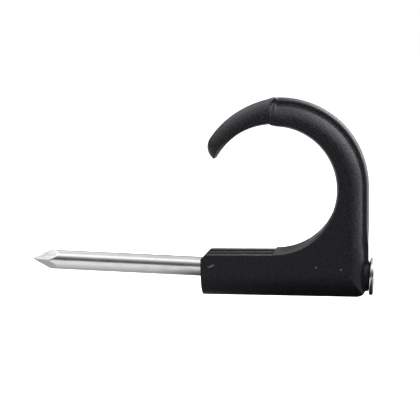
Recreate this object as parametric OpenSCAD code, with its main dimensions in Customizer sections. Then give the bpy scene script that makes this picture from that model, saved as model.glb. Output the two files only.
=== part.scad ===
// A cable clip of the nail-in kind: one black plastic moulding, a foot that carries an open hook,
// and one plated steel nail that is pushed through the foot and comes out of its wall face.
// The nail's line crosses the wall face at the origin. X runs along the foot from the wall to the
// nail's head, Z rises from the foot to the hook, and Y is the width of the clip.

/* [Bore] */
// Radius of the bore that holds the cable
bore_r = 8.93; // [8.2:0.05:9.6]
// Distance of the bore's wall from the wall face
bore_gap = 1.37; // [1:0.05:3]
// Width of the bore's land, which touches the cable
land_w = 5.8; // [3:0.1:6.5]
// Rise of the bore's wall from the land to the faces of the clip
bell_h = 0.3; // [0.1:0.05:0.5]

/* [Foot] */
// Width of the clip, front to back
clip_w = 8; // [7:0.1:10]
// Thickness of the column between the bore and the head's end of the foot
column_t = 4.52; // [4:0.05:6]
// Draft of the column, which narrows upwards
draft = 0.6; // [0:0.1:1.5]
// Thickness of the foot between the hole and the grooves of the seat
cover_t = 0.47; // [0.4:0.05:1.5]
// Step from the seat up to the bore
seat_step = 0.34; // [0.1:0.02:0.5]
// Fall of the seat from the bore to the wall face
seat_fall = 0.12; // [0:0.02:0.2]
// Width of each of the two grooves in the seat
groove_w = 1.4; // [0.8:0.1:1.8]
// Width of the rib between the grooves
mid_rib_w = 1.3; // [0.8:0.1:1.8]
// Depth of the grooves in the seat
groove_depth = 0.4; // [0.2:0.05:0.45]
// Chamfer at the wall end of the seat
end_chamfer = 0.6; // [0.2:0.05:0.8]
// Radius of the heel below the nail's head
heel_r = 2.2; // [1:0.1:2.4]

/* [Hook] */
// Thickness of the hook between the bore and its crest
hook_t = 3.72; // [3.6:0.02:4]
// Width of the crest rib
crest_w = 2.5; // [1.5:0.1:3.5]
// Height of the crest rib above the shoulders
crest_h = 0.55; // [0.3:0.05:0.8]

/* [Finger] */
// Distance from the finger's root to the line above the bore's centre
root_back = 0.15; // [0:0.05:0.4]
// Length of the bevel between the bore and the finger's inner side
root_bevel = 0.7; // [0.3:0.1:1]
// Rise of the crest from the hook's radius to the finger's
finger_rise = 0.65; // [0.5:0.05:0.7]
// Distance that the finger's outer arc is set forward of the bore, which tapers the finger
taper_x = 1.75; // [1.6:0.05:1.9]
// Distance that the finger's outer arc is set below the bore
taper_h = 0.37; // [0.3:0.01:0.4]
// Relief of the finger's inner side beyond the bore's radius
relief = 0.79; // [0.7:0.01:0.85]
// Distance that the finger's inner side is set back from the bore
relief_x = 0.1; // [0:0.02:0.2]
// Distance that the finger's inner side is set below the bore
relief_h = 0.57; // [0.5:0.01:0.6]
// Width of the flat of the finger's inner side
inner_w = 3; // [2:0.1:5]
// Radius of the finger's nose, as a share of the radius of the shoulders
nose_share = 0.8; // [0.7:0.02:0.9]
// Angle of the nose round the centre of the finger's outer arc
nose_angle = 145.5; // [140:0.5:150]

/* [Nail] */
// Diameter of the nail's shank
shank_d = 2.8; // [2:0.1:3]
// Reach of the nail beyond the wall face
nail_reach = 25.3; // [20:0.1:32]
// Diameter of the nail's head
head_d = 5.35; // [4.8:0.05:5.6]
// Thickness of the nail's head
head_t = 0.7; // [0.6:0.05:1.2]
// Rounding of the head's rim
rim_r = 0.2; // [0.1:0.05:0.25]
// Length of the nail's four-sided point
point_l = 3.9; // [3:0.1:5]
// Lean of the nail's free end, point upwards
nail_lean = 1.75; // [0:0.05:2]
// Bend of the nail where it enters the foot
nail_bend = 0.65; // [0.3:0.05:1]
// Gap between the nail and its hole
hole_gap = 0.03; // [0.01:0.01:0.1]
// Width of the relief round the hole in the wall face
mouth_w = 0.6; // [0.5:0.05:0.7]
// Depth of the relief round the hole in the wall face
mouth_depth = 0.12; // [0.1:0.02:0.3]
// Diameter of the pad that the nail's head sits on
pad_d = 4.3; // [3.8:0.1:4.7]
// Height of the pad above the end of the foot
pad_h = 0.08; // [0.08:0.02:0.4]

/* [Hidden] */
$fn = 96;
// Overrun of a cut past the face that it opens
over = clip_w / 8;

hole_d = shank_d + 2 * hole_gap;
mouth_d = hole_d + 2 * mouth_w;
seat_h = hole_d / 2 + cover_t + groove_depth;
bore_x = bore_gap + bore_r;
bore_h = seat_h + seat_step + bore_r;
foot_l = bore_x + bore_r + column_t;
pad_l = foot_l + pad_h;
sole_r = clip_w / 2;
seat_slope = atan(seat_fall / bore_x);
groove_y = (mid_rib_w + groove_w) / 2;

hook_r = bore_r + hook_t;
hook_x = foot_l - hook_r / cos(draft) - bore_h * tan(draft);
shoulder_r = (clip_w - crest_w) / 2;
nose_r = nose_share * shoulder_r;

finger_r = hook_r + finger_rise;
finger_x = bore_x + taper_x;
finger_h = bore_h - taper_h;
inner_r = bore_r + relief;
inner_x = bore_x - relief_x;
inner_h = bore_h - relief_h;
root_x = bore_x - root_back;
// Turns at which the hook's arc ends and the finger's begins, past the root where both are cut
hook_turn = 100;
finger_turn = 80;

seat_lean = nail_lean + nail_bend;

// An outline of the clip's side, x to the right and height upwards, extruded over the width w
module across(w) {
    rotate([90, 0, 0]) linear_extrude(w, center = true) children();
}

// A ring about an axis along Y: its section has the radius as x and the width as y
module turned(x, h, from, to) {
    translate([x, 0, h]) rotate([90, 0, 0]) rotate([0, 0, from])
        rotate_extrude(angle = to - from) children();
}

// Everything on the axis of the nail's head: z is the way from the wall face to the head
module along_hole() {
    rotate([0, 90 + seat_lean, 0]) children();
}

// Section of a bar with round shoulders, of outer radius r, down to the radius from
module shoulders(r, from) {
    translate([from, -sole_r]) square([r - shoulder_r - from, clip_w]);
    translate([from, -crest_w / 2]) square([r - from, crest_w]);
    intersection() {
        for (side = [-1, 1]) translate([r - shoulder_r, side * crest_w / 2]) circle(shoulder_r);
        translate([from, -sole_r]) square([r - from, clip_w]);
    }
}

// Section of the hook: shoulders with the crest rib on top
module hook_section(from) {
    shoulders(hook_r - crest_h, from);
    translate([from, -crest_w / 2]) square([hook_r - from, crest_w]);
}

// Everything above the seat, less a depth, over the width w centred at y
module above_seat(depth, w, y) {
    translate([bore_x, y, seat_h]) rotate([0, -seat_slope, 0])
        translate([-foot_l, -w / 2, -depth]) cube([foot_l, w, bore_h]);
}

// The foot and the column above its head end, with the round sole, the heel and the seat
module foot() {
    difference() {
        intersection() {
            // Plan, with the shoulders and the crest rib at the head's end, leaning by the draft
            translate([hook_x, 0, bore_h]) rotate([0, -draft, 0]) translate([0, 0, -2 * bore_h])
                linear_extrude(2 * bore_h) hook_section(-foot_l);
            // Section along the nail, round below its line
            rotate([90, 0, 90]) linear_extrude(foot_l + over) {
                circle(sole_r);
                translate([-sole_r, 0]) square([clip_w, bore_h + over]);
            }
            // Side, with the heel
            across(clip_w + over) {
                translate([0, -sole_r]) square([foot_l - heel_r, sole_r + bore_h + over]);
                translate([foot_l - heel_r, heel_r - sole_r]) circle(heel_r);
                translate([0, heel_r - sole_r]) square([foot_l + over, sole_r - heel_r + bore_h + over]);
            }
        }
        above_seat(0, 2 * clip_w, 0);
        for (side = [-1, 1]) above_seat(groove_depth, groove_w, side * groove_y);
        // Chamfer at the wall end of the seat
        translate([0, 0, seat_h - seat_fall]) rotate([0, 45, 0])
            cube([end_chamfer * sqrt(2), 2 * clip_w, end_chamfer * sqrt(2)], center = true);
    }
}

// The hook's arc, from the top of the column to just past the root of the finger
module hook() {
    intersection() {
        turned(hook_x, bore_h, draft, hook_turn) hook_section(bore_r / 2);
        translate([root_x - over, -clip_w, bore_h]) cube([foot_l, 2 * clip_w, 2 * hook_r]);
    }
}

// The core of the column, through the place where the column and the hook's arc meet
module core() {
    translate([foot_l - column_t / 2, 0, bore_h]) cube([column_t / 2, crest_w, 2 * over], center = true);
}

// A cut of radius r with a land in the middle of its width and a bell on each side
module bell_cut(x, h, r, land) {
    turned(x, h, 0, 360) polygon([
        [0, -sole_r - over],
        [r + bell_h, -sole_r - over],
        [r + bell_h, -sole_r],
        [r, -land / 2],
        [r, land / 2],
        [r + bell_h, sole_r],
        [r + bell_h, sole_r + over],
        [0, sole_r + over]]);
}

// The finger, a bar with round shoulders that tapers to a nose
module finger() {
    intersection() {
        turned(finger_x, finger_h, finger_turn, nose_angle) shoulders(finger_r, bore_r / 2);
        translate([root_x - foot_l, -clip_w, bore_h]) cube([foot_l, 2 * clip_w, 2 * hook_r]);
    }
    // The nose is the same bar turned all the way round the nose's own centre
    translate([finger_x, 0, finger_h]) rotate([0, -nose_angle, 0]) translate([finger_r - nose_r, 0, 0])
        turned(0, 0, 0, 360) intersection() {
            translate([nose_r - finger_r, 0]) shoulders(finger_r, 0);
            translate([0, -clip_w]) square([nose_r, 2 * clip_w]);
        }
}

// The finger's inner side, a wider cut that ends in a bevel at the root
module finger_cut() {
    intersection() {
        bell_cut(inner_x, inner_h, inner_r, inner_w);
        across(2 * clip_w) polygon([
            [root_x - foot_l, bore_h],
            [root_x + root_bevel, bore_h],
            [root_x + root_bevel, bore_h + bore_r],
            [root_x, inner_h + inner_r],
            [root_x, bore_h + hook_r],
            [root_x - foot_l, bore_h + hook_r]]);
    }
}

// The hole for the nail, with a shallow relief round it in the wall face
module nail_hole() {
    along_hole() cylinder(d = hole_d, h = 3 * foot_l, center = true);
    translate([-over, 0, 0]) rotate([0, 90, 0]) cylinder(d = mouth_d, h = mouth_depth + over);
}

// The round pad under the nail's head, with the end of the hole
module head_pad() {
    along_hole() translate([0, 0, pad_l - shoulder_r]) difference() {
        cylinder(d = pad_d, h = shoulder_r);
        translate([0, 0, -over]) cylinder(d = hole_d, h = shoulder_r + 2 * over);
    }
}

module moulding() {
    difference() {
        union() {
            difference() {
                union() {
                    foot();
                    hook();
                    core();
                }
                bell_cut(bore_x, bore_h, bore_r, land_w);
            }
            finger();
        }
        finger_cut();
        nail_hole();
    }
}

module clip_body() {
    color("#262628") {
        moulding();
        head_pad();
    }
}

// The free end of the nail, with the four facets of its point
module free_shank() {
    intersection() {
        rotate([0, 90 + nail_lean, 0]) difference() {
            translate([0, 0, -nail_reach]) cylinder(d = shank_d, h = nail_reach + over);
            for (turn = [0:90:270]) rotate([0, 0, turn + 45])
                translate([0, 0, -nail_reach]) rotate([0, atan2(shank_d / 2, point_l), 0])
                    translate([0, -shank_d, -over]) cube([2 * shank_d, 2 * shank_d, 2 * point_l]);
        }
        rotate([0, nail_lean + nail_bend / 2, 0]) translate([-2 * nail_reach, -clip_w, -clip_w])
            cube([2 * nail_reach, 2 * clip_w, 2 * clip_w]);
    }
}

// The nail's stretch in the foot, and its head with a round rim
module held_shank() {
    intersection() {
        along_hole() translate([0, 0, -over]) cylinder(d = shank_d, h = pad_l + hole_gap + over);
        rotate([0, nail_lean + nail_bend / 2, 0]) translate([0, -clip_w, -clip_w])
            cube([2 * foot_l, 2 * clip_w, 2 * clip_w]);
    }
    along_hole() translate([0, 0, pad_l + hole_gap]) rotate_extrude() {
        square([head_d / 2 - rim_r, head_t]);
        translate([0, rim_r]) square([head_d / 2, head_t - 2 * rim_r]);
        translate([head_d / 2 - rim_r, rim_r]) circle(rim_r);
        translate([head_d / 2 - rim_r, head_t - rim_r]) circle(rim_r);
    }
}

module nail() {
    color("#b9b9ba") {
        free_shank();
        held_shank();
    }
}

clip_body();
nail();
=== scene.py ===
"""A nail-in cable clip: a black plastic moulding and a zinc-plated steel nail on a pale floor."""

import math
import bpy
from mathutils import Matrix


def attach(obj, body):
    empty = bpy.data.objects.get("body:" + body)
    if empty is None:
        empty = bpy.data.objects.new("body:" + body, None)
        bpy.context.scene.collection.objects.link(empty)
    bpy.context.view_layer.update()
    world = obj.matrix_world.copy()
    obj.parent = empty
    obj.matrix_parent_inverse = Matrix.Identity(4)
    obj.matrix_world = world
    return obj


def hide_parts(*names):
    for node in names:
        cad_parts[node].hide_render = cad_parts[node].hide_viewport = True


bl_info = {
    "name": "Nail-in cable clip",
    "version": (1, 0, 0),
    "blender": (4, 5, 0),
    "location": "3D View > Sidebar > Cable clip",
    "description": "Dresses the CAD model of a nail-in cable clip and sets up its studio",
    "category": "Add Mesh",
}

import bmesh
import bpy
import numpy as np
from bpy.props import FloatProperty, FloatVectorProperty, PointerProperty
from mathutils import Matrix, Vector

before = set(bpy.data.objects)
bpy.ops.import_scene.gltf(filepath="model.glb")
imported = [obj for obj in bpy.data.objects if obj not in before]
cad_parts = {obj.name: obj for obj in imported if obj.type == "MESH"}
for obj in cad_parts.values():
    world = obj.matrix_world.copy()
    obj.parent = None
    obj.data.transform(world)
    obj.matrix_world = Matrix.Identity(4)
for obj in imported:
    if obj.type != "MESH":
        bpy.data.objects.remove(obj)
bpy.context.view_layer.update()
MM = 0.001

# Places of the moulding, in millimetres: the bore's centre, the hook's arc and the finger's root
BORE_X, BORE_Z = 10.3, 11.57
HOOK_X, HOOK_R = 10.98, 12.65
ROOT_X = 10.45
# The end of the foot at the nail's head, with and without what the remesh adds to it, and the
# column's draft as a slope
FOOT_END, FOOT_L, DRAFT = 23.76, 23.75, 0.0105
# The crest's half width, with what the remesh adds to it
CREST_HALF = 1.28
# The heel's radius, and the height where its curve begins
HEEL_R, HEEL_Z = 2.2, -1.8


def colour(code):
    """An sRGB hex value as the linear red, green, blue and alpha that nodes take."""
    parts = [int(code[i:i + 2], 16) / 255 for i in (1, 3, 5)]
    return [c / 12.92 if c <= 0.04045 else ((c + 0.055) / 1.055) ** 2.4 for c in parts] + [1.0]


def add(tree, kind, inputs=None, **settings):
    """Adds a node with its settings; an input is a value or another node's output."""
    node = tree.nodes.new(kind)
    for name, value in settings.items():
        setattr(node, name, value)
    for key, value in (inputs or {}).items():
        if isinstance(value, bpy.types.NodeSocket):
            tree.links.new(value, node.inputs[key])
        else:
            node.inputs[key].default_value = value
    return node


def new_material(name):
    """An empty node material."""
    material = bpy.data.materials.new(name)
    material.use_nodes = True
    material.node_tree.nodes.clear()
    return material, material.node_tree


class MouldingSettings(bpy.types.PropertyGroup):
    voxel: FloatProperty(name="Voxel", description="Grain of the remeshed moulding, in millimetres",
                         default=0.09, min=0.07, max=0.5)
    kept_share: FloatProperty(name="Kept share",
                              description="Share of the remeshed faces that is kept",
                              default=0.36, min=0.05, max=1, subtype="FACTOR")
    lip: FloatProperty(name="Root lip",
                       description="Height of the lip where the finger's mould half ends",
                       default=0.2 * MM, unit="LENGTH")
    tint: FloatVectorProperty(name="Plastic", description="Colour of the moulded polyethylene",
                              subtype="COLOR", size=4, default=colour("#0b0b0c"))
    roughness: FloatProperty(name="Roughness", description="Roughness of the moulded surface",
                             default=0.3, min=0, max=1, subtype="FACTOR")


class NailSettings(bpy.types.PropertyGroup):
    shank: FloatProperty(name="Shank", description="Diameter of the shank", default=2.8 * MM,
                         unit="LENGTH")
    reach: FloatProperty(name="Reach", description="Length of the nail beyond the wall face",
                         default=25.3 * MM, unit="LENGTH")
    held: FloatProperty(name="Held length",
                        description="Length of the nail in the foot, up to its head",
                        default=23.86 * MM, unit="LENGTH")
    point: FloatProperty(name="Point", description="Length of the four-sided point",
                         default=3.9 * MM, unit="LENGTH")
    head: FloatProperty(name="Head", description="Diameter of the head", default=5.35 * MM,
                        unit="LENGTH")
    head_thickness: FloatProperty(name="Head thickness", description="Thickness of the head",
                                  default=0.7 * MM, unit="LENGTH")
    lean: FloatProperty(name="Lean", description="Lean of the free end, point upwards",
                        default=math.radians(1.75), unit="ROTATION")
    bend: FloatProperty(name="Bend", description="Bend where the nail enters the foot",
                        default=math.radians(0.65), unit="ROTATION")
    tint: FloatVectorProperty(name="Zinc", description="Colour of the zinc plating",
                              subtype="COLOR", size=4, default=colour("#cfcecf"))


class StageSettings(bpy.types.PropertyGroup):
    floor_depth: FloatProperty(name="Floor depth",
                               description="Depth of the floor below the nail's line",
                               default=60 * MM, unit="LENGTH")
    floor_tint: FloatVectorProperty(name="Floor", description="Colour of the floor",
                                    subtype="COLOR", size=4, default=colour("#f2f2f2"))


def plastic_material(settings):
    """Moulded black polyethylene: nearly black, with a satin sheen from a fine eroded tool."""
    material, tree = new_material("moulded_black_polyethylene")
    place = add(tree, "ShaderNodeTexCoord").outputs["Object"]
    # The eroded texture's pits are about 0.05 mm; they are drawn at 0.25 mm, so that they show
    grain = add(tree, "ShaderNodeTexNoise", {"Vector": place, "Scale": 1 / (0.25 * MM),
                                             "Detail": 3.0, "Roughness": 0.6})
    speck = add(tree, "ShaderNodeMapRange", {"Value": grain.outputs[0], "From Min": 0.4,
                                             "From Max": 0.68})
    # The melt's flow leaves the gloss a little uneven, over 6 mm
    flow = add(tree, "ShaderNodeTexNoise", {"Vector": place, "Scale": 1 / (6 * MM), "Detail": 3.0})
    rough = add(tree, "ShaderNodeMapRange", {"Value": flow.outputs[0], "From Min": 0.3,
                                             "From Max": 0.7, "To Min": settings.roughness - 0.04,
                                             "To Max": settings.roughness + 0.04})
    tint = add(tree, "ShaderNodeMixRGB", {"Fac": speck.outputs[0], "Color1": settings.tint,
                                          "Color2": colour("#1f1f22")})
    # Pale colour on and round the scars: a painted highlight for the light their raised tops catch
    scar_highlight = add(tree, "ShaderNodeAttribute", attribute_name="scar_highlight")
    tint = add(tree, "ShaderNodeMixRGB", {"Fac": scar_highlight.outputs["Fac"], "Color1": tint.outputs[0],
                                          "Color2": colour("#505054")})
    bump = add(tree, "ShaderNodeBump", {"Height": grain.outputs[0], "Strength": 1.0,
                                        "Distance": 0.1 * MM})
    shader = add(tree, "ShaderNodeBsdfPrincipled", {
        "Base Color": tint.outputs[0], "Roughness": rough.outputs[0], "IOR": 1.5,
        "Specular IOR Level": 0.28, "Specular Tint": colour("#efeeff"), "Normal": bump.outputs[0]})
    add(tree, "ShaderNodeOutputMaterial", {"Surface": shader.outputs[0]})
    return material


def zinc_material(settings):
    """Zinc-plated drawn steel: semi-bright, mottled, with drawing lines along the wire."""
    material, tree = new_material("zinc_plated_drawn_steel")
    known = add(tree, "ShaderNodeTexCoord")
    place = known.outputs["Object"]
    # The plating's mottle is 0.5 mm wide and four times as long along the wire
    along = add(tree, "ShaderNodeMapping", {"Vector": place, "Scale": (0.25, 1, 1)})
    mottle = add(tree, "ShaderNodeTexNoise", {"Vector": along.outputs[0], "Scale": 1 / (0.5 * MM),
                                              "Detail": 4.0})
    rough = add(tree, "ShaderNodeMapRange", {"Value": mottle.outputs[0], "From Min": 0.3,
                                             "From Max": 0.7, "To Min": 0.16, "To Max": 0.28})
    # Only the point's upward-facing facets get a darker colour: partly the dull forged finish of
    # the pinched facets, partly painted shade that tones down their reflection of the overhead
    # softboxes
    faces = add(tree, "ShaderNodeSeparateXYZ", {0: known.outputs["Normal"]})
    pinched = add(tree, "ShaderNodeMapRange", {"Value": faces.outputs[0], "From Min": -0.12,
                                               "From Max": -0.2})
    upper_facets_shade = add(tree, "ShaderNodeMapRange", {"Value": faces.outputs[2], "From Min": 0.0,
                                             "From Max": 0.2})
    dull_and_shaded = add(tree, "ShaderNodeMath", {0: pinched.outputs[0], 1: upper_facets_shade.outputs[0]},
               operation="MULTIPLY")
    dark = add(tree, "ShaderNodeMapRange", {"Value": mottle.outputs[0], "From Min": 0.4,
                                            "From Max": 0.62, "To Min": 0.6, "To Max": 1.0})
    dull_and_shaded = add(tree, "ShaderNodeMath", {0: dull_and_shaded.outputs[0], 1: dark.outputs[0]},
               operation="MULTIPLY")
    # The darker grey is the facets' dull finish plus painted shade on the upper ones
    tint = add(tree, "ShaderNodeMixRGB", {"Fac": dull_and_shaded.outputs[0], "Color1": settings.tint,
                                          "Color2": colour("#9c9a9d")})
    bump = add(tree, "ShaderNodeBump", {"Height": mottle.outputs[0], "Strength": 0.25,
                                        "Distance": 0.02 * MM})
    shader = add(tree, "ShaderNodeBsdfPrincipled", {
        "Base Color": tint.outputs[0], "Metallic": 1.0, "Roughness": rough.outputs[0],
        "Normal": bump.outputs[0]})
    add(tree, "ShaderNodeOutputMaterial", {"Surface": shader.outputs[0]})
    return material


def link_object(name, mesh):
    """A new object in the scene."""
    piece = bpy.data.objects.new(name, mesh)
    bpy.context.scene.collection.objects.link(piece)
    return piece


def baked(piece):
    """The piece's evaluated shape as a plain mesh on a piece without modifiers."""
    bpy.context.view_layer.update()
    graph = bpy.context.evaluated_depsgraph_get()
    mesh = bpy.data.meshes.new_from_object(piece.evaluated_get(graph))
    piece.modifiers.clear()
    piece.data = mesh
    mesh.name = piece.name
    return piece


# Scars that the photograph shows, in millimetres: centre, half sizes along, out and across, tilt
SCARS = [
    ((1.55, -4.0, 0.63), (0.42, 0.15, 0.12), 23),
    ((19.96, -4.0, 0.44), (0.12, 0.1, 0.12), 0),
    ((16.45, -4.0, 0.65), (0.11, 0.08, 0.11), 0),
    ((21.89, -3.95, 3.72), (0.12, 0.1, 0.12), 0),
    ((23.62, -1.2, 6.4), (0.15, 0.15, 0.18), 0),
]


# How far a scar's painted highlight, a pale colour, reaches, as a share of its half sizes
SCAR_HIGHLIGHT_REACH = 1.25


def scar_place(centre, halves, tilt):
    """The transform that takes a unit sphere to a scar."""
    return (Matrix.Translation(centre) @ Matrix.Rotation(math.radians(-tilt), 4, "Y")
            @ Matrix.Diagonal((*halves, 1)))


def add_scars(form):
    """Small raised slivers and dots, which the remesh then fuses with the moulding."""
    for scar in SCARS:
        bmesh.ops.create_uvsphere(form, u_segments=12, v_segments=8, radius=1,
                                  matrix=scar_place(*scar))


def paint_scar_highlights(mesh):
    """An attribute that is 1 on and just round the scars, where a pale colour paints the highlight
    that their raised tops catch.
    """
    spots = np.empty(3 * len(mesh.vertices), dtype=np.float32)
    mesh.vertices.foreach_get("co", spots)
    spots = np.c_[spots.reshape(-1, 3), np.ones(len(mesh.vertices))]
    pale = np.zeros(len(mesh.vertices), dtype=np.float32)
    for scar in SCARS:
        inside = spots @ np.array(scar_place(*scar).inverted()).T
        pale = np.maximum(pale, np.linalg.norm(inside[:, :3], axis=1) < SCAR_HIGHLIGHT_REACH)
    scar_highlight = mesh.attributes.new("scar_highlight", "FLOAT", "POINT")
    scar_highlight.data.foreach_set("value", pale.astype(np.float32))


def smooth_step(values, low, high):
    """Values from low to high as 0 to 1, with an even start and end."""
    share = np.clip((values - low) / (high - low), 0, 1)
    return share * share * (3 - 2 * share)


def shape_root(spots, settings):
    """Moves the remeshed points to the small forms at the finger's root, the crest and the heel."""
    x, y, z = spots[:, 0], spots[:, 1], spots[:, 2]
    radius = np.hypot(x - BORE_X, z - BORE_Z)
    above = smooth_step(z, 19.5, 20.5)
    # The lip rises over 1.6 mm and ends at the root
    rise = smooth_step(x, ROOT_X - 1.6, ROOT_X - 0.1) * (x < ROOT_X + 0.06)
    z += settings.lip / MM * rise * smooth_step(radius, 11.6, 12.7) * above
    # The root's edge leans towards the tip by 0.35 mm at the faces
    lean = 0.35 * smooth_step(np.abs(y), 1.0, 3.6)
    near = smooth_step(np.abs(x - ROOT_X), 1.6, 0.2)
    x -= lean * near * above
    # The shoulders lie 0.2 mm deeper beside the crest, whose top falls from its middle to its edges
    beside = (np.abs(y) > CREST_HALF) & (x > ROOT_X + 0.1)
    crest = (np.abs(y) <= CREST_HALF) & (x > ROOT_X + 0.1)
    edge = 0.27 * np.abs(y) + 0.9 * np.clip(np.abs(y) - 1.1, 0, None)
    arc = z > BORE_Z
    radius = np.hypot(x - HOOK_X, z - BORE_Z)
    raised = 0.08 + 0.2 * smooth_step(z - BORE_Z, 0, 11)
    top = np.minimum(radius + raised * smooth_step(radius, 12.1, 12.5), HOOK_R + raised - edge)
    deep = np.where(crest, radius - top, 0.2 * smooth_step(radius, 10.2, 11.8) * beside) * arc
    x -= deep * (x - HOOK_X) / radius
    z -= deep * (z - BORE_Z) / radius
    x -= 0.2 * smooth_step(x, 21.2, 22.8) * smooth_step(z, 2, 5) * beside * ~arc
    # On the column the crest's shape fades out towards the foot
    spine = crest & ~arc & (z > 3)
    face = FOOT_L - DRAFT * z
    share = smooth_step(z, 3, 6.5)
    x[spine] = np.minimum(x + 0.08 * share * smooth_step(x, face - 0.5, face - 0.1),
                          face + share * (0.08 - edge))[spine]
    # The end face round the head's pad follows the heel's curve
    fall = np.clip(HEEL_Z - z, 0, HEEL_R)
    wall = FOOT_END - (HEEL_R - np.sqrt(HEEL_R ** 2 - fall ** 2))
    low = (z < 3) & (x > wall) & (np.hypot(y, z + 1) > 2.6)
    x[low] = wall[low]
    return spots


class CABLECLIP_OT_moulding(bpy.types.Operator):
    """Makes the black moulding: foot, column, hook and finger, with soft edges and its scars"""
    bl_idname = "cable_clip.moulding"
    bl_label = "Moulding"

    def execute(self, context):
        settings = context.scene.cable_clip_moulding
        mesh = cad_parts["clip_body"].data.copy()
        mesh.materials.clear()
        # In millimetres while it is remeshed
        mesh.transform(Matrix.Scale(1 / MM, 4))
        form = bmesh.new()
        form.from_mesh(mesh)
        bmesh.ops.remove_doubles(form, verts=form.verts, dist=0.001)
        add_scars(form)
        form.to_mesh(mesh)
        form.free()
        piece = link_object("moulding", mesh)
        remesh = piece.modifiers.new("remesh", "REMESH")
        remesh.mode = "VOXEL"
        remesh.voxel_size = settings.voxel
        soften = piece.modifiers.new("soften", "SMOOTH")
        soften.factor = 0.5
        soften.iterations = 2
        baked(piece)
        spots = np.empty(3 * len(piece.data.vertices), dtype=np.float32)
        piece.data.vertices.foreach_get("co", spots)
        spots = shape_root(spots.reshape(-1, 3), settings)
        piece.data.vertices.foreach_set("co", spots.ravel())
        # The crest's edges are rounder than the rest
        far = np.hypot(spots[:, 0] - HOOK_X, spots[:, 2] - BORE_Z)
        arc = (far > 12.2) & (spots[:, 2] > BORE_Z) & (spots[:, 0] > 10.6)
        column = (spots[:, 0] > 23.2) & (spots[:, 2] > 3.2) & (spots[:, 2] <= BORE_Z)
        crest = piece.vertex_groups.new(name="crest")
        crest.add(np.nonzero(arc | column)[0].tolist(), 1.0, "REPLACE")
        rounder = piece.modifiers.new("rounder", "SMOOTH")
        rounder.factor = 0.5
        rounder.iterations = 3
        rounder.vertex_group = "crest"
        thin = piece.modifiers.new("thin", "DECIMATE")
        thin.ratio = settings.kept_share
        baked(piece)
        piece.vertex_groups.clear()
        paint_scar_highlights(piece.data)
        piece.data.transform(Matrix.Scale(MM, 4))
        piece.data.shade_smooth()
        piece.data.materials.clear()
        piece.data.materials.append(plastic_material(settings))
        if not len(piece.data.polygons):
            raise RuntimeError("the moulding came out empty")
        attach(piece, "root")
        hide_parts("clip_body")
        return {"FINISHED"}


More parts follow.
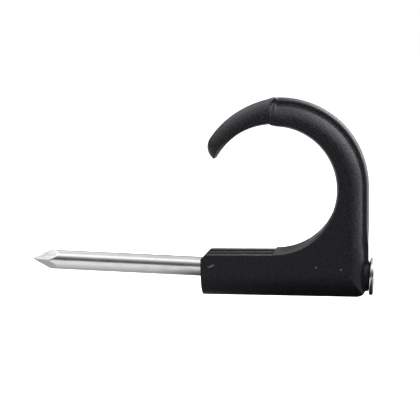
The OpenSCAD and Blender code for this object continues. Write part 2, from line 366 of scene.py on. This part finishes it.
def nail_tree():
    """A nail by rule: a wire with a four-sided point and a head, from a grid for each."""
    tree = bpy.data.node_groups.new("nail_by_rule", "GeometryNodeTree")
    tree.is_modifier = True
    sockets = {}
    tree.interface.new_socket("Geometry", in_out="OUTPUT", socket_type="NodeSocketGeometry")
    names = ["Shank", "Reach", "Held length", "Point", "Head", "Head thickness", "Lean", "Bend"]
    for name in names:
        sockets[name] = tree.interface.new_socket(name, in_out="INPUT",
                                                  socket_type="NodeSocketFloat")
    sockets["Material"] = tree.interface.new_socket("Material", in_out="INPUT",
                                                    socket_type="NodeSocketMaterial")
    group = add(tree, "NodeGroupInput")
    parts = []
    for is_head in (False, True):
        grid = add(tree, "GeometryNodeMeshGrid", {"Size X": 1.0, "Size Y": 1.0,
                                                  "Vertices X": 41 if is_head else 201,
                                                  "Vertices Y": 121})
        place = add(tree, "ShaderNodeSeparateXYZ",
                    {0: add(tree, "GeometryNodeInputPosition").outputs[0]})
        known = {name: group.outputs[name] for name in names}
        known["gx"], known["gy"] = place.outputs[0], place.outputs[1]
        rows = [("u", "ADD", "gx", 0.5), ("turn", "MULTIPLY", "gy", 2 * math.pi)]
        if is_head:
            # A disc with a round rim: a superellipse turned round the nail
            rows += [
                ("phi", "MULTIPLY", "gx", math.pi),
                ("rise", "SINE", "phi"), ("side", "SIGN", "rise"), ("rise", "ABSOLUTE", "rise"),
                ("rise", "POWER", "rise", 0.6), ("rise", "MULTIPLY", "rise", "side"),
                ("rise", "MULTIPLY_ADD", "rise", 0.5, 0.5),
                ("out", "COSINE", "phi"), ("out", "MAXIMUM", "out", 0.0),
                ("out", "POWER", "out", 0.1),
                ("half", "MULTIPLY", "Head", 0.5), ("radius", "MULTIPLY", "out", "half"),
                ("t", "MULTIPLY_ADD", "rise", "Head thickness", "Held length"),
            ]
        else:
            rows += [
                # Rows lie closer together towards the point
                ("cube", "POWER", "u", 3.0), ("cube", "MULTIPLY", "cube", 0.85),
                ("share", "MULTIPLY_ADD", "u", 0.15, "cube"),
                ("length", "ADD", "Reach", "Held length"), ("s", "MULTIPLY", "share", "length"),
                ("t", "SUBTRACT", "s", "Reach"),
                ("R", "MULTIPLY", "Shank", 0.5),
                # Four facets, a little full, that meet in front, above, behind and below
                ("rise", "DIVIDE", "s", "Point"), ("rise", "POWER", "rise", 0.94),
                ("half", "MULTIPLY", "rise", "R"),
                ("angle", "ADD", "turn", math.pi / 4),
                ("c", "COSINE", "angle"), ("c", "ABSOLUTE", "c"),
                ("d", "SINE", "angle"), ("d", "ABSOLUTE", "d"),
                ("e", "SMOOTH_MAX", "c", "d", 0.04),
                ("facet", "DIVIDE", "half", "e"),
                ("radius", "SMOOTH_MIN", "facet", "R", 0.06 * MM),
                # The last row closes the wire inside the head
                ("open", "LESS_THAN", "u", 0.999), ("radius", "MULTIPLY", "radius", "open"),
            ]
        rows += [
            ("step", "DIVIDE", "t", 1.0 * MM), ("step", "ADD", "step", 0.5),
            ("step", "MAXIMUM", "step", 0.0), ("step", "MINIMUM", "step", 1.0),
            ("tilt", "MULTIPLY_ADD", "step", "Bend", "Lean"),
            ("ct", "COSINE", "tilt"), ("st", "SINE", "tilt"),
            ("y", "COSINE", "turn"), ("y", "MULTIPLY", "y", "radius"),
            ("up", "SINE", "turn"), ("up", "MULTIPLY", "up", "radius"),
            ("x", "MULTIPLY", "t", "ct"), ("x", "MULTIPLY_ADD", "up", "st", "x"),
            ("z", "MULTIPLY", "t", "st"), ("z", "MULTIPLY", "z", -1.0),
            ("z", "MULTIPLY_ADD", "up", "ct", "z"),
        ]
        for name, operation, *terms in rows:
            terms = {i: known[term] if isinstance(term, str) else term
                     for i, term in enumerate(terms)}
            known[name] = add(tree, "ShaderNodeMath", terms, operation=operation).outputs[0]
        spot = add(tree, "ShaderNodeCombineXYZ", {0: known["x"], 1: known["y"], 2: known["z"]})
        moved = add(tree, "GeometryNodeSetPosition", {"Geometry": grid.outputs[0],
                                                      "Position": spot.outputs[0]})
        parts.append(moved.outputs[0])
    both = add(tree, "GeometryNodeJoinGeometry")
    for part in parts:
        tree.links.new(part, both.inputs[0])
    merged = add(tree, "GeometryNodeMergeByDistance", {"Geometry": both.outputs[0],
                                                       "Distance": 0.001 * MM})
    real = add(tree, "GeometryNodeRealizeInstances", {"Geometry": merged.outputs[0]})
    finish = add(tree, "GeometryNodeSetMaterial", {"Geometry": real.outputs[0],
                                                   "Material": group.outputs["Material"]})
    add(tree, "NodeGroupOutput", {"Geometry": finish.outputs[0]})
    return tree, {name: socket.identifier for name, socket in sockets.items()}


class CABLECLIP_OT_nail(bpy.types.Operator):
    """Makes the steel nail: four-sided point, wire and round head"""
    bl_idname = "cable_clip.nail"
    bl_label = "Nail"

    def execute(self, context):
        settings = context.scene.cable_clip_nail
        piece = link_object("steel_nail", bpy.data.meshes.new("steel_nail"))
        modifier = piece.modifiers.new("nail", "NODES")
        tree, inputs = nail_tree()
        modifier.node_group = tree
        values = {"Shank": settings.shank, "Reach": settings.reach, "Held length": settings.held,
                  "Point": settings.point, "Head": settings.head,
                  "Head thickness": settings.head_thickness, "Lean": settings.lean,
                  "Bend": settings.bend, "Material": zinc_material(settings)}
        for name, value in values.items():
            modifier[inputs[name]] = value
        baked(piece)
        if not len(piece.data.polygons):
            raise RuntimeError("the nail came out empty")
        form = bmesh.new()
        form.from_mesh(piece.data)
        bmesh.ops.remove_doubles(form, verts=form.verts, dist=0.001 * MM)
        bmesh.ops.recalc_face_normals(form, faces=form.faces)
        form.to_mesh(piece.data)
        form.free()
        piece.data.shade_smooth()
        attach(piece, "root")
        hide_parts("nail")
        return {"FINISHED"}


def studio_camera():
    """The photograph's view: 7 degrees to the right of the front and 6.3 above, on a long lens."""
    azimuth, elevation = math.radians(7), math.radians(6.3)
    focal, frame_px, depth = 1600, 420, 231.5 * MM
    right = Vector((math.cos(azimuth), math.sin(azimuth), 0))
    ahead = Vector((-math.sin(azimuth) * math.cos(elevation),
                    math.cos(azimuth) * math.cos(elevation), -math.sin(elevation)))
    up = right.cross(ahead)
    # The frame's origin shows at this pixel
    origin_px = (203.8, 266.4)
    ray = (ahead + right * ((origin_px[0] - frame_px / 2) / focal)
           + up * ((frame_px / 2 - origin_px[1]) / focal))
    data = bpy.data.cameras.new("photo_view")
    data.sensor_width = 36
    data.lens = focal / frame_px * data.sensor_width
    data.clip_start = 0.01
    data.clip_end = 20
    camera = bpy.data.objects.new("photo_view", data)
    bpy.context.scene.collection.objects.link(camera)
    turn = Matrix((right, up, -ahead)).transposed().to_4x4()
    camera.matrix_world = Matrix.Translation(-ray * depth) @ turn
    bpy.context.scene.camera = camera


def softbox(name, direction, distance, size, power):
    """A soft area lamp that faces the clip from a direction."""
    data = bpy.data.lights.new(name, "AREA")
    data.shape = "RECTANGLE"
    data.size, data.size_y = size
    data.energy = power
    lamp = bpy.data.objects.new(name, data)
    bpy.context.scene.collection.objects.link(lamp)
    middle = Vector((0, 0, 8 * MM))
    way = Vector(direction).normalized()
    lamp.matrix_world = (Matrix.Translation(middle + way * distance)
                         @ way.to_track_quat("Z", "Y").to_matrix().to_4x4())
    # Gloss sees the studio's dome in place of the lamps
    lamp.visible_glossy = False


def set_stops(ramp, stops):
    """Sets a ramp of grey levels from pairs of position and level."""
    while len(ramp.elements) > 1:
        ramp.elements.remove(ramp.elements[0])
    ramp.elements[0].position = stops[0][0]
    ramp.elements[0].color = (stops[0][1],) * 3 + (1,)
    for position, level in stops[1:]:
        ramp.elements.new(position).color = (level,) * 3 + (1,)


def studio_world():
    """White for the camera; a studio dome for gloss, dark behind the camera; dim for the rest."""
    world = bpy.data.worlds.new("studio")
    bpy.context.scene.world = world
    world.use_nodes = True
    tree = world.node_tree
    tree.nodes.clear()
    rays = add(tree, "ShaderNodeLightPath")
    toward = add(tree, "ShaderNodeTexCoord").outputs["Generated"]
    way = add(tree, "ShaderNodeSeparateXYZ", {0: toward})
    front = add(tree, "ShaderNodeMath", {0: way.outputs[1], 1: -1.0}, operation="MULTIPLY")
    angle = add(tree, "ShaderNodeMath", {0: way.outputs[2], 1: front.outputs[0]},
                operation="ARCTAN2")
    # 0 is straight down behind, 0.5 level in front, 0.75 overhead and 1 level behind
    share = add(tree, "ShaderNodeMapRange", {"Value": angle.outputs[0], "From Min": -math.pi,
                                             "From Max": math.pi})
    dome = add(tree, "ShaderNodeValToRGB", {0: share.outputs[0]})
    stops = [(0.0, 0.03), (0.48, 0.5), (0.497, 1.2), (0.507, 0.12), (0.57, 0.16), (0.61, 0.35),
             (0.65, 1.0), (0.68, 1.65), (0.72, 1.6), (0.76, 0.85), (0.85, 0.95), (0.89, 0.6),
             (0.93, 0.05), (1.0, 0.03)]
    set_stops(dome.color_ramp, stops)
    # The dome is dark to both sides, but for the softboxes that draw the sheens on the moulding
    aside = add(tree, "ShaderNodeMath", {0: way.outputs[0], 1: 0.1}, operation="ADD")
    aside = add(tree, "ShaderNodeMath", {0: aside.outputs[0]}, operation="ABSOLUTE")
    middle = add(tree, "ShaderNodeMapRange", {"Value": aside.outputs[0], "From Min": 0.12,
                                              "From Max": 0.45, "To Min": 1.0, "To Max": 0.12},
                 interpolation_type="SMOOTHSTEP")
    level = add(tree, "ShaderNodeMath", {0: dome.outputs[0], 1: middle.outputs[0]},
                operation="MULTIPLY")
    # A ring of softboxes round the clip: its level goes by the angle in the ring, 0.5 to the right
    # and 0.75 overhead
    turn = add(tree, "ShaderNodeMath", {0: way.outputs[2], 1: way.outputs[0]}, operation="ARCTAN2")
    turn = add(tree, "ShaderNodeMapRange", {"Value": turn.outputs[0], "From Min": -math.pi,
                                            "From Max": math.pi})
    ring = add(tree, "ShaderNodeValToRGB", {0: turn.outputs[0]})
    set_stops(ring.color_ramp, [(0.4, 0.0), (0.45, 0.35), (0.5, 0.45), (0.53, 0.6), (0.56, 1.8),
                                (0.6, 2.9), (0.64, 2.8), (0.68, 2.4), (0.71, 1.6), (0.735, 0.4),
                                (0.75, 0.0), (0.78, 0.0), (0.795, 0.9), (0.82, 2.1), (0.86, 2.0),
                                (0.9, 1.2), (0.95, 0.4), (1.0, 0.05)])
    # The ring fades out towards the camera and far behind the clip
    wide = add(tree, "ShaderNodeValToRGB", {0: front.outputs[0]})
    set_stops(wide.color_ramp, [(0.0, 1.0), (0.25, 1.0), (0.5, 0.45), (0.7, 0.0)])
    deep = add(tree, "ShaderNodeMapRange", {"Value": way.outputs[1], "From Min": 0.6,
                                            "From Max": 0.95, "To Min": 1.0, "To Max": 0.0})
    lit = add(tree, "ShaderNodeMath", {0: wide.outputs[0], 1: deep.outputs[0]},
              operation="MULTIPLY")
    level = add(tree, "ShaderNodeMath", {0: lit.outputs[0], 1: ring.outputs[0],
                                         2: level.outputs[0]}, operation="MULTIPLY_ADD")
    # One more softbox, behind and to the right
    aim = add(tree, "ShaderNodeVectorMath", {0: toward, 1: Vector((0.38, 0.88, 0.28)).normalized()},
              operation="DOT_PRODUCT")
    sheen = add(tree, "ShaderNodeMapRange", {"Value": aim.outputs["Value"], "From Min": 0.88,
                                             "From Max": 0.96, "To Min": 0.0, "To Max": 2.5},
                interpolation_type="SMOOTHSTEP")
    level = add(tree, "ShaderNodeMath", {0: level.outputs[0], 1: sheen.outputs[0]}, operation="ADD")
    gloss = add(tree, "ShaderNodeBackground", {"Color": level.outputs[0], "Strength": 1.0})
    seen = add(tree, "ShaderNodeBackground", {"Color": (1, 1, 1, 1), "Strength": 1.0})
    dim = add(tree, "ShaderNodeBackground", {"Color": (1, 1, 1, 1), "Strength": 0.3})
    glossy = add(tree, "ShaderNodeMixShader", {0: rays.outputs["Is Glossy Ray"], 1: dim.outputs[0],
                                               2: gloss.outputs[0]})
    clear = add(tree, "ShaderNodeMath", {0: rays.outputs["Is Camera Ray"],
                                         1: rays.outputs["Is Transmission Ray"]},
                operation="MAXIMUM")
    whole = add(tree, "ShaderNodeMixShader", {0: clear.outputs[0], 1: glossy.outputs[0],
                                              2: seen.outputs[0]})
    add(tree, "ShaderNodeOutputWorld", {"Surface": whole.outputs[0]})


def floor_material(settings):
    """Matt white studio paper with its own glow, so that it shows white and keeps the shadow, and a
    glow seen only in gloss that paints reflections onto the clip.
    """
    material, tree = new_material("matt_white_paper")
    rays = add(tree, "ShaderNodeLightPath")
    place = add(tree, "ShaderNodeTexCoord").outputs["Object"]
    # Paper fibre, drawn coarser than it is
    fibre = add(tree, "ShaderNodeTexNoise", {"Vector": place, "Scale": 1 / (1.5 * MM),
                                             "Detail": 2.0})
    bump = add(tree, "ShaderNodeBump", {"Height": fibre.outputs[0], "Strength": 0.1,
                                        "Distance": 0.05 * MM})
    paper = add(tree, "ShaderNodeBsdfDiffuse", {"Color": settings.floor_tint,
                                                "Normal": bump.outputs[0]})
    apart = add(tree, "ShaderNodeVectorMath", {0: place}, operation="LENGTH")
    far = add(tree, "ShaderNodeMapRange", {"Value": apart.outputs["Value"], "From Min": 0.08,
                                           "From Max": 0.14, "To Min": 0.5, "To Max": 1.0})
    seen = add(tree, "ShaderNodeMath", {0: far.outputs[0], 1: rays.outputs["Is Camera Ray"]},
               operation="MULTIPLY")
    # Painted reflection: seen in gloss, the floor glows bright below the nail's free end and stays
    # dark below the moulding
    across = add(tree, "ShaderNodeSeparateXYZ", {0: place})
    beside = add(tree, "ShaderNodeMapRange", {"Value": across.outputs[0], "From Min": -0.018,
                                              "From Max": -0.008, "To Min": 1.0, "To Max": 0.03},
                 interpolation_type="SMOOTHSTEP")
    ahead = add(tree, "ShaderNodeMapRange", {"Value": across.outputs[1], "From Min": -0.08,
                                             "From Max": 0.02, "To Min": 1.2, "To Max": 0.55})
    painted_reflection = add(tree, "ShaderNodeMath", {0: beside.outputs[0], 1: ahead.outputs[0]},
                 operation="MULTIPLY")
    # Painted reflection for the nail's head: seen in gloss, the floor behind it glows, and the
    # head's edge mirrors that glow
    slant = add(tree, "ShaderNodeVectorMath", {0: place, 1: (0.8, 0.6, 0)}, operation="DOT_PRODUCT")
    behind = add(tree, "ShaderNodeMapRange", {"Value": slant.outputs["Value"], "From Min": 0.22,
                                              "From Max": 0.36, "To Min": 0.0, "To Max": 1.4},
                 interpolation_type="SMOOTHSTEP")
    painted_reflection = add(tree, "ShaderNodeMath", {0: behind.outputs[0], 1: painted_reflection.outputs[0]},
                 operation="MAXIMUM")
    # Painted reflection for its right side: seen in gloss, the floor to the right glows
    to_right = add(tree, "ShaderNodeMapRange", {"Value": across.outputs[0], "From Min": 0.04,
                                                "From Max": 0.08, "To Min": 0.0, "To Max": 0.5})
    painted_reflection = add(tree, "ShaderNodeMath", {0: to_right.outputs[0], 1: painted_reflection.outputs[0]},
                 operation="MAXIMUM")
    painted_reflection = add(tree, "ShaderNodeMath", {0: painted_reflection.outputs[0], 1: rays.outputs["Is Glossy Ray"]},
                 operation="MULTIPLY")
    level = add(tree, "ShaderNodeMath", {0: seen.outputs[0], 1: painted_reflection.outputs[0]}, operation="ADD")
    glow = add(tree, "ShaderNodeEmission", {"Color": (1, 1, 1, 1), "Strength": level.outputs[0]})
    # Only a third of the paper's light comes back up to the clip
    dark = add(tree, "ShaderNodeBsdfDiffuse", {"Color": colour("#909090"),
                                               "Normal": bump.outputs[0]})
    paper = add(tree, "ShaderNodeMixShader", {0: rays.outputs["Is Diffuse Ray"],
                                              1: paper.outputs[0], 2: dark.outputs[0]})
    # Only the glow is seen in gloss
    both = add(tree, "ShaderNodeAddShader", {0: paper.outputs[0], 1: glow.outputs[0]})
    whole = add(tree, "ShaderNodeMixShader", {0: rays.outputs["Is Glossy Ray"], 1: both.outputs[0],
                                              2: glow.outputs[0]})
    add(tree, "ShaderNodeOutputMaterial", {"Surface": whole.outputs[0]})
    return material


class CABLECLIP_OT_stage(bpy.types.Operator):
    """Makes the pale floor, the soft lamps and the camera"""
    bl_idname = "cable_clip.stage"
    bl_label = "Stage"

    def execute(self, context):
        settings = context.scene.cable_clip_stage
        context.scene.view_settings.view_transform = "Standard"
        form = bmesh.new()
        bmesh.ops.create_circle(form, cap_ends=True, segments=64, radius=6)
        mesh = bpy.data.meshes.new("studio_floor")
        form.to_mesh(mesh)
        form.free()
        mesh.transform(Matrix.Translation((0, 0, -settings.floor_depth)))
        floor = link_object("studio_floor", mesh)
        floor.data.materials.append(floor_material(settings))
        softbox("key", (0.55, -0.45, 0.8), 0.6, (0.5, 0.35), 4.0)
        softbox("front", (0.1, -1, 0.45), 0.7, (0.4, 0.4), 2.0)
        softbox("rear", (-0.3, 0.9, 0.6), 0.7, (0.4, 0.4), 2.5)
        studio_world()
        studio_camera()
        return {"FINISHED"}


class CABLECLIP_PT_panel(bpy.types.Panel):
    """Lists the pieces of the clip"""
    bl_label = "Cable clip"
    bl_idname = "CABLECLIP_PT_panel"
    bl_space_type = "VIEW_3D"
    bl_region_type = "UI"
    bl_category = "Cable clip"

    def draw(self, context):
        groups = ((context.scene.cable_clip_moulding, "cable_clip.moulding"),
                  (context.scene.cable_clip_nail, "cable_clip.nail"),
                  (context.scene.cable_clip_stage, "cable_clip.stage"))
        for group, operator in groups:
            box = self.layout.box()
            for name in group.__annotations__:
                box.prop(group, name)
            box.operator(operator)


SETTINGS = {"cable_clip_moulding": MouldingSettings, "cable_clip_nail": NailSettings,
            "cable_clip_stage": StageSettings}
CLASSES = (*SETTINGS.values(), CABLECLIP_OT_moulding, CABLECLIP_OT_nail, CABLECLIP_OT_stage,
           CABLECLIP_PT_panel)


def register():
    for kind in CLASSES:
        bpy.utils.register_class(kind)
    for name, kind in SETTINGS.items():
        setattr(bpy.types.Scene, name, PointerProperty(type=kind))


def unregister():
    for name in SETTINGS:
        delattr(bpy.types.Scene, name)
    for kind in reversed(CLASSES):
        bpy.utils.unregister_class(kind)


def main():
    register()
    bpy.ops.cable_clip.moulding()
    bpy.ops.cable_clip.nail()
    bpy.ops.cable_clip.stage()
    bpy.context.view_layer.update()


if __name__ == "__main__":
    main()
